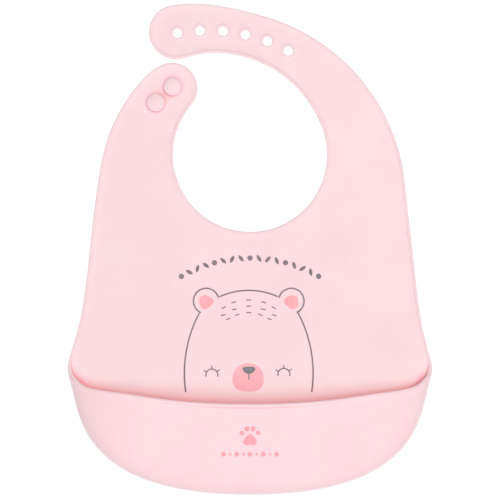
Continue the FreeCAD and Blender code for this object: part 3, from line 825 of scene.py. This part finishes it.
# ------------------------------------------------------------------ printed marks
INK_BACK, INK_FRONT = -0.15, 0.06    # the ink's two faces, from the surface under it
LINE = 0.95                          # width of a drawn line
BLOB_STEPS = 8                       # points along each span of a blob
THIN_LINE, FINE_LINE, LASH_LINE = LINE * 0.8, LINE * 0.75, LINE * 0.7


def band(centre, radius, first_angle, last_angle, wide):
    """Stroke along an arc."""
    return (arc(centre, radius + wide / 2, first_angle, last_angle, 0.6)
            + arc(centre, radius - wide / 2, last_angle, first_angle, 0.6))


def band_through(a, b, c, wide):
    """Stroke along the arc through three points."""
    d = 2 * (a[0] * (b[1] - c[1]) + b[0] * (c[1] - a[1]) + c[0] * (a[1] - b[1]))
    sq = [p[0] ** 2 + p[1] ** 2 for p in (a, b, c)]
    centre = ((sq[0] * (b[1] - c[1]) + sq[1] * (c[1] - a[1]) + sq[2] * (a[1] - b[1])) / d,
              (sq[0] * (c[0] - b[0]) + sq[1] * (a[0] - c[0]) + sq[2] * (b[0] - a[0])) / d)
    start = math.degrees(math.atan2(a[1] - centre[1], a[0] - centre[0]))
    turn = math.degrees(math.atan2(c[1] - centre[1], c[0] - centre[0])) - start
    turn = (turn + 180.0) % 360.0 - 180.0
    return band(centre, math.dist(a, centre), start, start + turn, wide)


def bar(x, z, size, wide, degrees):
    """Straight stroke with round ends."""
    half = size / 2 - wide / 2
    ends = polar((x, z), half, degrees), polar((x, z), -half, degrees)
    return (arc(ends[0], wide / 2, degrees - 90, degrees + 90, 0.2)
            + arc(ends[1], wide / 2, degrees + 90, degrees + 270, 0.2))


def disc(x, z, radius):
    """Round dot."""
    return arc((x, z), radius, 0.0, 360.0, 0.5)[:-1]


def blob(points):
    """Closed smooth outline through a few points (Catmull-Rom)."""
    out = []
    n = len(points)
    for k in range(n):
        p0, p1, p2, p3 = (points[(k + j) % n] for j in (-1, 0, 1, 2))
        for step in range(BLOB_STEPS):
            t = step / BLOB_STEPS
            out.append(tuple(0.5 * (2 * p1[c] + (p2[c] - p0[c]) * t
                                    + (2 * p0[c] - 5 * p1[c] + 4 * p2[c] - p3[c]) * t * t
                                    + (3 * p1[c] - p0[c] - 3 * p2[c] + p3[c]) * t ** 3)
                             for c in (0, 1)))
    return out


def leaf(x, z, size, wide, degrees):
    """Pointed leaf of two equal arcs."""
    bulge = wide / 2
    radius = ((size / 2) ** 2 + bulge ** 2) / (2 * bulge)
    half = math.degrees(math.asin(size / 2 / radius))
    up = polar((x, z), -(radius - bulge), degrees + 90)
    down = polar((x, z), radius - bulge, degrees + 90)
    return (arc(up, radius, degrees + 90 - half, degrees + 90 + half, 0.4)[:-1]
            + arc(down, radius, degrees - 90 - half, degrees - 90 + half, 0.4)[:-1])


def flat_height(x, z):
    """Distance ahead of the back face of the panel's front, the same everywhere."""
    return SHEET


foot_angles = [(math.atan2(z - CORNER_Z, x), math.hypot(x, z - CORNER_Z)) for x, z in foot_line]


def bowl_height(x, z):
    """Distance ahead of the back face of the bowl's outside, over a point of the front view."""
    angle = math.atan2(z - CORNER_Z, x)
    reach = 1.0
    for (a, r), (b, q) in zip(foot_angles, foot_angles[1:]):
        if a <= angle <= b:
            reach = r + (q - r) * (angle - a) / (b - a)
    scale = math.hypot(x, z - CORNER_Z) / reach
    return SHEET + POCKET_DEEP * (1 - scale ** POCKET_POWER) ** (1 / POCKET_POWER)


def spots_inside(shape, grid):
    """Points of a grid inside a shape, half a step or more from its outline's points."""
    low = [min(p[c] for p in shape) for c in (0, 1)]
    high = [max(p[c] for p in shape) for c in (0, 1)]
    counts = [int((b - a) / grid) + 1 for a, b in zip(low, high)]
    spots = [(low[0] + (i + 0.5) * grid, low[1] + (j + 0.5) * grid)
             for i in range(counts[0]) for j in range(counts[1])]
    return [spot for spot in spots
            if inside(shape, *spot) and min(math.dist(spot, p) for p in shape) > grid / 2]


def printed(name, node, shapes, material, height=flat_height, lift=0.0, grid=0.0):
    """A closed thin layer of ink on a surface; shapes that touch become one."""
    points, edges = [], []
    for shape in shapes:
        base, count = len(points), len(shape)
        edges += [(base + k, base + (k + 1) % count) for k in range(count)]
        points += [Vector(p) for p in shape + (spots_inside(shape, grid) if grid else [])]
    points, _, faces = delaunay_2d_cdt(points, edges, [], 0, POINT_MERGE, True)[:3]
    bm = bmesh.new()
    front, back = ([bm.verts.new(to_world(*p, height(*p) + lift + level)) for p in points]
                   for level in (INK_FRONT, INK_BACK))
    rim = {}
    for face in faces:
        middle = middle_of(points, face)
        if not any(inside(shape, *middle) for shape in shapes):
            continue
        bm.faces.new([front[k] for k in face])
        bm.faces.new([back[k] for k in reversed(face)])
        for a, b in zip(face, face[1:] + face[:1]):
            if (b, a) in rim:
                del rim[(b, a)]
            else:
                rim[(a, b)] = True
    for a, b in rim:
        bm.faces.new((front[a], front[b], back[b], back[a]))
    bmesh.ops.delete(bm, geom=[v for v in bm.verts if not v.link_faces], context="VERTS")
    attach(finish_mesh(name, bm, material, smooth=False), node, "apron")


def mirrored(x, z, half):
    """Closed outline about a centre, from its right half."""
    return [(x + a, z + b) for a, b in half] + [(x - a, z + b) for a, b in half[:0:-1]]


# The face: its middle line, an ear's place beside it, and the ticks as (x, z, tilt).
FACE_X = -0.8
EAR = (26.8, -92.0)
EAR_R, EAR_LEAN, EAR_HALF_TURN = 8.0, 40.0, 115.5
EYE_CENTRES = [(-24.0, -138.6), (21.3, -138.2)]
EYE_R, LASH_R, LASH_SIZE = 3.8, 5.0, 2.1
LASH_ANGLES = [35.0, 90.0, 150.0]
MIDDLE_TICKS = [(0.0, -91.4, -2), (0.0, -95.2, 0), (0.0, -99.3, 0)]
SIDE_TICKS = [(9.4, -92.8, 14), (15.7, -96.2, 28), (9.1, -97.2, 10), (16.1, -100.9, 18),
              (7.3, -100.7, 17), (13.0, -103.3, 16)]
TICK_SIZE = 3.2
INNER_EAR = [(4.7, 0.1), (3.4, 2.6), (-0.8, 4.2), (-4.0, 2.4), (-3.9, -2.7), (-0.6, -4.5),
             (3.4, -2.0)]

head = [band_through((FACE_X - 18.4, -89.3), (FACE_X, -85.3), (FACE_X + 18.4, -89.3), LINE)]
inner_ears = []
for side in (-1, 1):
    ear = (FACE_X + side * EAR[0], EAR[1])
    turn = 90.0 - side * EAR_LEAN
    head.append(band(ear, EAR_R, turn - EAR_HALF_TURN, turn + EAR_HALF_TURN, LINE))
    head.append(band_through((FACE_X + side * 31.0, -99.4), (FACE_X + side * 39.1, -122.5),
                             (FACE_X + side * 39.6, -149.3), LINE))
    inner_ears.append(blob([(ear[0] - side * x, ear[1] - 0.5 + z) for x, z in INNER_EAR]))
printed("face_outline", "print_head_outline", head, GREY)

eyes = []
for centre in EYE_CENTRES:
    eyes.append(band(centre, EYE_R, -14.0, 194.0, THIN_LINE))
    eyes += [bar(*polar(centre, LASH_R, angle), LASH_SIZE, LASH_LINE, angle)
             for angle in LASH_ANGLES]
printed("closed_eyes", "print_closed_eyes", eyes, GREY)

ticks = list(MIDDLE_TICKS)
for x, z, tilt in SIDE_TICKS:
    ticks += [(x, z, -tilt), (-x, z, tilt)]
printed("forehead_ticks", "print_forehead_ticks",
        [bar(FACE_X + x, z, TICK_SIZE, FINE_LINE, tilt) for x, z, tilt in ticks], GREY)
printed("inner_ears", "print_inner_ears", inner_ears, EAR_CORAL)

MUZZLE = [(0.0, 9.0), (6.9, 6.3), (9.7, 0.4), (8.9, -5.2), (4.6, -8.5)]
NOSE = [(0.0, 2.3), (3.3, 2.0), (3.9, 0.5), (1.7, -1.9)]
NOSE_X, NOSE_LIFT = -0.7, 0.05
printed("muzzle", "print_muzzle", [blob(mirrored(-1.1, -140.0, MUZZLE))], LIT_MUZZLE_CORAL)
printed("nose", "print_nose",
        [blob(mirrored(NOSE_X, -135.6, NOSE)), bar(NOSE_X, -139.3, 4.4, THIN_LINE, 90.0)],
        NOSE_GREY, lift=NOSE_LIFT)

# The garland: leaves on an arc over the face, with a berry in the place of every fourth.
GARLAND_CENTRE, GARLAND_R, GARLAND_STEP = (0.0, -152.0), 87.0, 3.72
LEAF_SIZE, LEAF_WIDE, LEAF_LEAN, BERRY_R = 5.2, 2.2, 35.0, 1.7
garland = []
for number in range(-8, 9):
    angle = 90.0 - number * GARLAND_STEP
    spot = polar(GARLAND_CENTRE, GARLAND_R, angle)
    lean = LEAF_LEAN if number % 2 else -LEAF_LEAN
    garland.append(leaf(*spot, LEAF_SIZE, LEAF_WIDE, angle + lean) if number % 4
                   else disc(*spot, BERRY_R))
printed("garland", "print_garland", garland, GREY)

# The marks on the pocket: a paw, and a row of large and small dots under it.
PAW = (0.0, -174.4)
PAW_PAD = [(0.0, 3.2), (3.2, 0.6), (4.2, -2.4), (2.0, -3.9), (0.0, -3.5)]
PAW_TOES = [(-5.0, 1.6, 1.45), (-1.9, 4.2, 1.6), (1.9, 4.2, 1.6), (5.0, 1.6, 1.45)]
DOTS_Z, DOT_STEP, DOT_R, SMALL_DOT_R = -186.2, 4.1, 1.5, 0.9
paw = [blob([(PAW[0] + x, PAW[1] - 2.2 + z) for x, z in PAW_PAD
             + [(-x, z) for x, z in PAW_PAD[3:0:-1]]])]
paw += [disc(PAW[0] + x, PAW[1] + z, radius) for x, z, radius in PAW_TOES]
printed("paw", "print_paw", paw, POCKET_CORAL, bowl_height, grid=0.8)
printed("dot_row", "print_dot_row",
        [disc(number * DOT_STEP, DOTS_Z, SMALL_DOT_R if number % 2 else DOT_R)
         for number in range(-4, 5)], POCKET_CORAL, bowl_height, grid=0.6)

# ------------------------------------------------------------------ room, lights, camera
FRONT_LEVEL, BACK_LEVEL = 0.4, 1.04    # of the world's light
FLOOR_Z, FLOOR_R = -1.2, 7.5           # metres, below and beyond the frame of the front view
CAMERA = (0.0, -1.3125, -0.0599)

scene = bpy.context.scene
scene.view_settings.view_transform = "Standard"


def studio_world():
    """White behind the bib and at its sides, dimmer in front, where the soft lights stand."""
    world = bpy.data.worlds.new("studio")
    scene.world = world
    world.use_nodes = True
    tree = world.node_tree
    background = tree.nodes["Background"]
    background.inputs["Color"].default_value = (1.0, 1.0, 1.0, 1.0)
    way = tree.nodes.new("ShaderNodeSeparateXYZ")
    place = tree.nodes.new("ShaderNodeTexCoord").outputs["Generated"]
    tree.links.new(place, way.inputs["Vector"])
    level = tree.nodes.new("ShaderNodeMapRange")
    level.inputs["From Min"].default_value = -0.35
    level.inputs["From Max"].default_value = 0.1
    level.inputs["To Min"].default_value = FRONT_LEVEL
    level.inputs["To Max"].default_value = BACK_LEVEL
    tree.links.new(way.outputs["Y"], level.inputs["Value"])
    tree.links.new(level.outputs["Result"], background.inputs["Strength"])


def area_light(name, place, target, size, power):
    """Round soft light aimed at a target."""
    light = bpy.data.lights.new(name, "AREA")
    light.shape = "DISK"
    light.size = size
    light.energy = power
    obj = bpy.data.objects.new(name, light)
    scene.collection.objects.link(obj)
    obj.location = place
    obj.rotation_euler = (Vector(target) - Vector(place)).to_track_quat("-Z", "Y").to_euler()


def pale_floor():
    """Large pale disc that throws light up at the bib."""
    material, _, shader = new_material("floor_white")
    shader.inputs["Base Color"].default_value = (0.98, 0.98, 0.98, 1.0)
    shader.inputs["Roughness"].default_value = 0.9
    bm = bmesh.new()
    bmesh.ops.create_circle(bm, cap_ends=True, segments=96, radius=FLOOR_R)
    floor = add_object("floor", bm, material)
    floor.location = (0.0, 0.0, FLOOR_Z)


def front_camera():
    """Long lens, square on to the bib's front."""
    camera = bpy.data.cameras.new("camera")
    camera.lens, camera.sensor_width = 150.0, 36.0
    obj = bpy.data.objects.new("camera", camera)
    obj.location = CAMERA
    obj.rotation_euler = (math.radians(90.0), 0.0, 0.0)
    scene.collection.objects.link(obj)
    scene.camera = obj


studio_world()
area_light("key", (-0.1, -1.7, -0.42), (0.0, 0.0, -0.14), 0.6, 2.4)
area_light("fill", (0.25, -1.9, 0.1), (0.0, 0.0, -0.12), 0.9, 17.8)
pale_floor()
front_camera()
